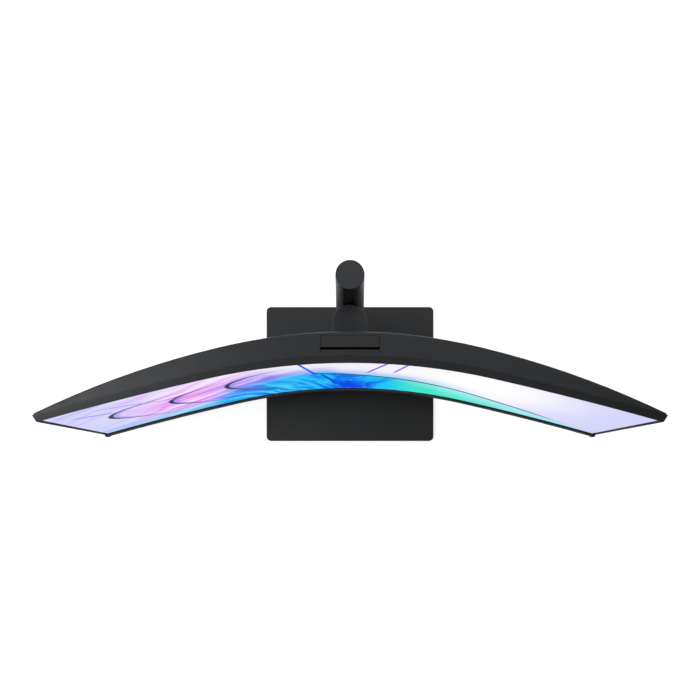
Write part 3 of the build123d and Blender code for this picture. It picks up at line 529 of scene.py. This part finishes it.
def finish_nodes(materials):
    """Give every CAD node its material, smooth curves and softly broken edges."""
    slots = {row["node"]: row["material_slot"] for row in frame["record"]["subparts"]}
    # The column and neck take the lighter copy, which is painted light
    slots.update((name, "column_painted_lighter") for name in PAINTED_LIGHTER_NODES)
    # The bottom bezel takes the copy with the painted highlight
    slots["bottom_bezel"] = "bezel_plastic_painted_highlight"
    for name, node in NODES.items():
        material = materials[slots[name]]
        for slot in node.material_slots:
            slot.material = material
        if not node.material_slots:
            node.data.materials.append(material)
        weld = node.modifiers.new("weld", "WELD")
        weld.merge_threshold = WELD_DISTANCE
        if name in SOFT_EDGES:
            bevel = node.modifiers.new("edges", "BEVEL")
            bevel.width = SOFT_EDGES[name] * MM
            bevel.segments = 2
            bevel.limit_method = "ANGLE"
            bevel.angle_limit = BROKEN_EDGE_ANGLE
        node.data.shade_smooth()
        smooth = node.modifiers.new("smooth", "NODES")
        smooth.node_group = smooth_by_angle()
        flat = node.modifiers.new("flat", "WEIGHTED_NORMAL")
        flat.keep_sharp = True


def smooth_by_angle():
    """Geometry nodes group that shades faces as one where they meet at less than the smooth angle."""
    name = "smooth_30"
    if name in bpy.data.node_groups:
        return bpy.data.node_groups[name]
    group = bpy.data.node_groups.new(name, "GeometryNodeTree")
    group.interface.new_socket("Geometry", in_out="INPUT", socket_type="NodeSocketGeometry")
    group.interface.new_socket("Geometry", in_out="OUTPUT", socket_type="NodeSocketGeometry")
    given = group.nodes.new("NodeGroupInput")
    result = group.nodes.new("NodeGroupOutput")
    angle = group.nodes.new("GeometryNodeInputMeshEdgeAngle")
    compare = group.nodes.new("FunctionNodeCompare")
    compare.data_type = "FLOAT"
    compare.operation = "LESS_EQUAL"
    compare.inputs["B"].default_value = SMOOTH_ANGLE
    faces = group.nodes.new("GeometryNodeSetShadeSmooth")
    edges = group.nodes.new("GeometryNodeSetShadeSmooth")
    faces.domain = "FACE"
    edges.domain = "EDGE"
    group.links.new(angle.outputs["Unsigned Angle"], compare.inputs["A"])
    group.links.new(given.outputs[0], faces.inputs["Geometry"])
    group.links.new(faces.outputs[0], edges.inputs["Geometry"])
    group.links.new(compare.outputs[0], edges.inputs["Shade Smooth"])
    group.links.new(edges.outputs[0], result.inputs[0])
    return group


# ---------------------------------------------------------------- new objects

def add_object(name, data):
    """New object in the scene, at the origin."""
    made = bpy.data.objects.new(name, data)
    bpy.context.scene.collection.objects.link(made)
    return made


def add_mesh(name, form, material):
    """New object from a finished form."""
    mesh = bpy.data.meshes.new(name)
    form.to_mesh(mesh)
    mesh.materials.append(material)
    return add_object(name, mesh)


# ---------------------------------------------------------------- cover screws

def cross_outline(form, centre, y, sizes):
    """Twelve corners of a plus sign in a plane of constant Y."""
    long, thin = (size * MM for size in sizes)
    corners = ((long, thin), (thin, thin), (thin, long))
    points = []
    for c, s in ((1, 0), (0, 1), (-1, 0), (0, -1)):
        points += [(a * c - b * s, a * s + b * c) for a, b in corners]
    return [form.verts.new((centre.x + a, y, centre.z + b)) for a, b in points]


def skin(form, first, second):
    """Quads between two closed rows of points."""
    for i, corner in enumerate(first):
        follow = (i + 1) % len(first)
        form.faces.new((corner, first[follow], second[follow], second[i]))


def closed_edges(form, row):
    """Edges along a closed row of points."""
    return [form.edges.get((a, b)) for a, b in zip(row, row[1:] + row[:1])]


def add_screw(form, low, high):
    """Cross-recessed screw filling a box, its head towards +Y."""
    centre = (low + high) / 2
    radius = (high.x - low.x) / 2
    length = high.y - low.y
    turns = [2 * math.pi * i / SCREW_SIDES for i in range(SCREW_SIDES)]
    rows = []
    for share, depth in SCREW_PROFILE:
        reach = radius * share
        y = high.y - length * depth
        rows.append([form.verts.new((centre.x + reach * math.cos(t), y, centre.z + reach * math.sin(t)))
                     for t in turns])
    for first, second in zip(rows, rows[1:]):
        skin(form, first, second)
    form.faces.new(rows[-1])
    mouth = cross_outline(form, centre, high.y, CROSS_MOUTH)
    floor = cross_outline(form, centre, high.y - CROSS_DEPTH * MM, CROSS_FLOOR)
    skin(form, mouth, floor)
    form.faces.new(floor)
    rims = closed_edges(form, rows[0]) + closed_edges(form, mouth)
    bmesh.ops.triangle_fill(form, edges=rims, use_beauty=True)


def plug_boxes():
    """Low and high corners of the box round each plain plug."""
    plugs = bmesh.new()
    plugs.from_mesh(NODES["cover_screws"].data)
    bmesh.ops.remove_doubles(plugs, verts=plugs.verts[:], dist=WELD_DISTANCE)
    boxes = []
    left = set(plugs.verts)
    while left:
        first = min(left, key=lambda v: v.index)
        island, queue = {first}, [first]
        while queue:
            for edge in queue.pop().link_edges:
                for vert in edge.verts:
                    if vert not in island:
                        island.add(vert)
                        queue.append(vert)
        left -= island
        boxes.append([Vector([pick(v.co[i] for v in island) for i in range(3)]) for pick in (min, max)])
    return boxes


def make_cover_screws(material):
    """Detailed screws where the CAD has plain plugs."""
    form = bmesh.new()
    for low, high in plug_boxes():
        add_screw(form, low, high)
    bmesh.ops.recalc_face_normals(form, faces=form.faces[:])
    piece = add_mesh("cross_screws", form, material)
    smooth = piece.modifiers.new("smooth", "NODES")
    smooth.node_group = smooth_by_angle()
    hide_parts("cover_screws")
    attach(piece, "head")


# ---------------------------------------------------------------- stage, lights, camera

def make_floor():
    """Pale matt floor that glows a little of its own."""
    mat, tree, shader = start("floor", rough=0.9, specular=0.1)
    tone = ramp(noise(tree, coords(tree), 3.0), [(0.3, (0.86, 0.86, 0.86)), (0.7, (0.88, 0.88, 0.88))])
    tree.links.new(tone, shader.inputs["Base Color"])
    shader.inputs["Emission Color"].default_value = (1.0, 1.0, 1.0, 1)
    shader.inputs["Emission Strength"].default_value = 0.72
    form = bmesh.new()
    bmesh.ops.create_grid(form, x_segments=1, y_segments=1, size=FLOOR_REACH)
    floor = add_mesh("floor", form, mat)


def make_backdrop():
    """Pale dome behind everything; it shows, but it neither lights nor shades the object."""
    mat, tree, shader = start("backdrop", rough=1.0, specular=0.0)
    tone = ramp(noise(tree, coords(tree), 0.4), [(0.3, (0.97, 0.97, 0.97)), (0.7, (1.0, 1.0, 1.0))])
    tree.links.new(tone, shader.inputs["Emission Color"])
    shader.inputs["Emission Strength"].default_value = 1.0
    form = bmesh.new()
    bmesh.ops.create_icosphere(form, subdivisions=4, radius=DOME_RADIUS)
    bmesh.ops.bisect_plane(form, geom=form.verts[:] + form.edges[:] + form.faces[:],
                           plane_co=(0, 0, DOME_CUT_Z), plane_no=(0, 0, 1), clear_inner=True)
    dome = add_mesh("backdrop", form, mat)
    dome.visible_diffuse = False
    dome.visible_glossy = False
    dome.visible_shadow = False


def area_light(name, place, target, size, power):
    """Square lamp that faces its target."""
    data = bpy.data.lights.new(name, "AREA")
    data.shape = "SQUARE"
    data.size = size
    data.energy = power
    data.color = LIGHT_COLOUR
    lamp = add_object(name, data)
    lamp.location = place
    lamp.rotation_euler = (Vector(target) - Vector(place)).to_track_quat("-Z", "Y").to_euler()


def make_lights():
    """Dim even sky and the square lamps."""
    world = bpy.data.worlds.new("studio")
    world.use_nodes = True
    sky = world.node_tree.nodes["Background"]
    sky.inputs["Color"].default_value = SKY_COLOUR
    sky.inputs["Strength"].default_value = SKY_STRENGTH
    bpy.context.scene.world = world
    for light in LIGHTS:
        area_light(*light)


def make_camera():
    """Looking straight down, with the view shifted towards the rear."""
    data = bpy.data.cameras.new("camera")
    data.lens = CAMERA_LENS
    data.sensor_width = SENSOR_WIDTH
    data.shift_y = CAMERA_SHIFT_Y
    camera = add_object("camera", data)
    camera.location = (0, CAMERA_Y, CAMERA_Z)
    bpy.context.scene.camera = camera


make_camera()
MATERIALS = make_materials()
finish_nodes(MATERIALS)
make_cover_screws(MATERIALS["screw_steel"])
# The lit screen neither glows on nor mirrors in the pieces round it
NODES["lcd_panel"].visible_diffuse = False
NODES["lcd_panel"].visible_glossy = False
make_floor()
make_backdrop()
make_lights()
bpy.context.scene.view_settings.view_transform = "Standard"
